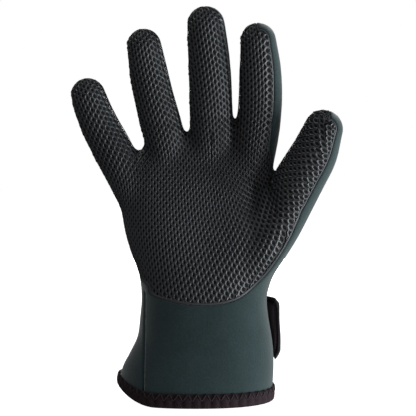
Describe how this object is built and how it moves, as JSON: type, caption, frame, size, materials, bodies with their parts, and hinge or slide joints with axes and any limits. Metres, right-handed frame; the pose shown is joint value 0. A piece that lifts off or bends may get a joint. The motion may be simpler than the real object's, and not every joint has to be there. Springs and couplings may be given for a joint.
{
  "type": "neoprene sport glove",
  "caption": "Full-finger neoprene glove for the right hand, with an embossed grip palm, a wide cuff with a bound hem and a hook-and-loop wrist strap.",
  "frame": {"origin": "centre of the wrist opening, where a hand goes in", "axes": "+Z from the wrist opening to the fingertips, -Y out of the palm, +X to the thumb side"},
  "size_m": [0.1653, 0.073, 0.2418],
  "materials": {
    "embossed_palm": "satin black rubber coating with a raised staggered net around oblong pits",
    "green_neoprene": "dark green jersey-faced neoprene, matt with a soft sheen",
    "binding_tape": "black knitted edge tape with a zigzag stitch",
    "loop_pile": "black brushed loop pile",
    "hook_tape": "black hook tape",
    "strap_webbing": "black woven strap with sewn edges"
  },
  "bodies": {
    "root": {"palm_panel": "embossed_palm", "back_panel": "green_neoprene", "hem_binding": "binding_tape", "loop_patch": "loop_pile", "hook_tab": "hook_tape", "wrist_strap": "strap_webbing"}
  },
  "joints": []
}
